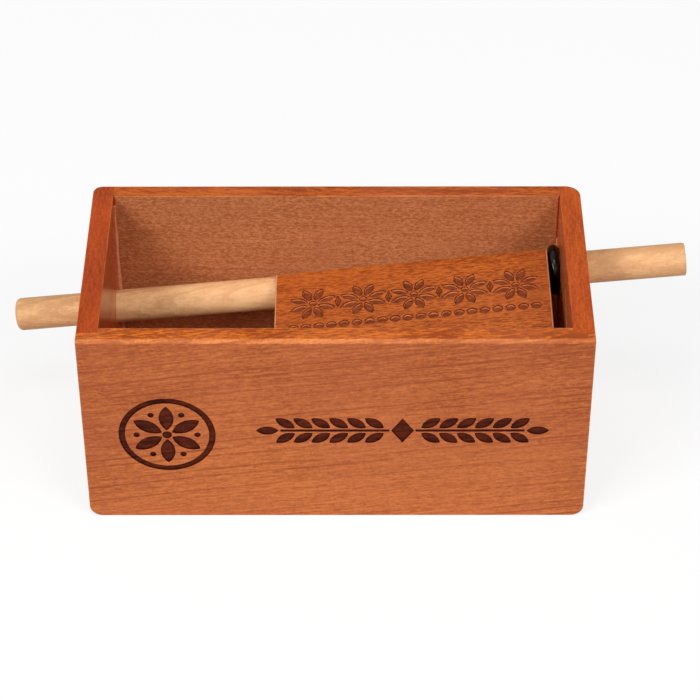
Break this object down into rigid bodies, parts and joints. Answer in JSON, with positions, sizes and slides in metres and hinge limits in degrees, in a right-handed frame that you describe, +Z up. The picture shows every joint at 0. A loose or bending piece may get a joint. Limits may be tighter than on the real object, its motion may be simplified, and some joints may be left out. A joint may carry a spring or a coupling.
{
  "type": "push-pull friction bird call",
  "caption": "Open wooden box with a round stick through both ends that drags a wooden striker over an upright sounding rail.",
  "frame": {"origin": "middle of the box's underside, where the call stands", "axes": "+X along the box to the end where the stick leaves higher, +Y from the front board to the back board, +Z up"},
  "size_m": [0.1639, 0.058, 0.055],
  "materials": {
    "box_wood": "satin",
    "striker_wood": "satin",
    "dowel_wood": "matte",
    "rail_wood": "matte",
    "black_rubber": "gloss"
  },
  "bodies": {
    "box": {"front_board": "box_wood", "back_board": "box_wood", "left_end_board": "box_wood", "right_end_board": "box_wood", "bottom_board": "box_wood", "sounding_rail": "rail_wood"},
    "bumper": {"bumper_ring": "black_rubber"},
    "striker": {"push_rod": "dowel_wood", "striker": "striker_wood"}
  },
  "joints": [
    {"name": "rod_push", "type": "slide", "parent": "box", "child": "bumper", "axis": [-0.9943, 0, -0.1063], "range_m": [0, 0.025]},
    {"name": "striker_lift", "type": "hinge", "parent": "bumper", "child": "striker", "pos_m": [0, 0.0162, 0.0335], "axis": [-0.9943, 0, -0.1063], "range_deg": [0, 95]}
  ]
}
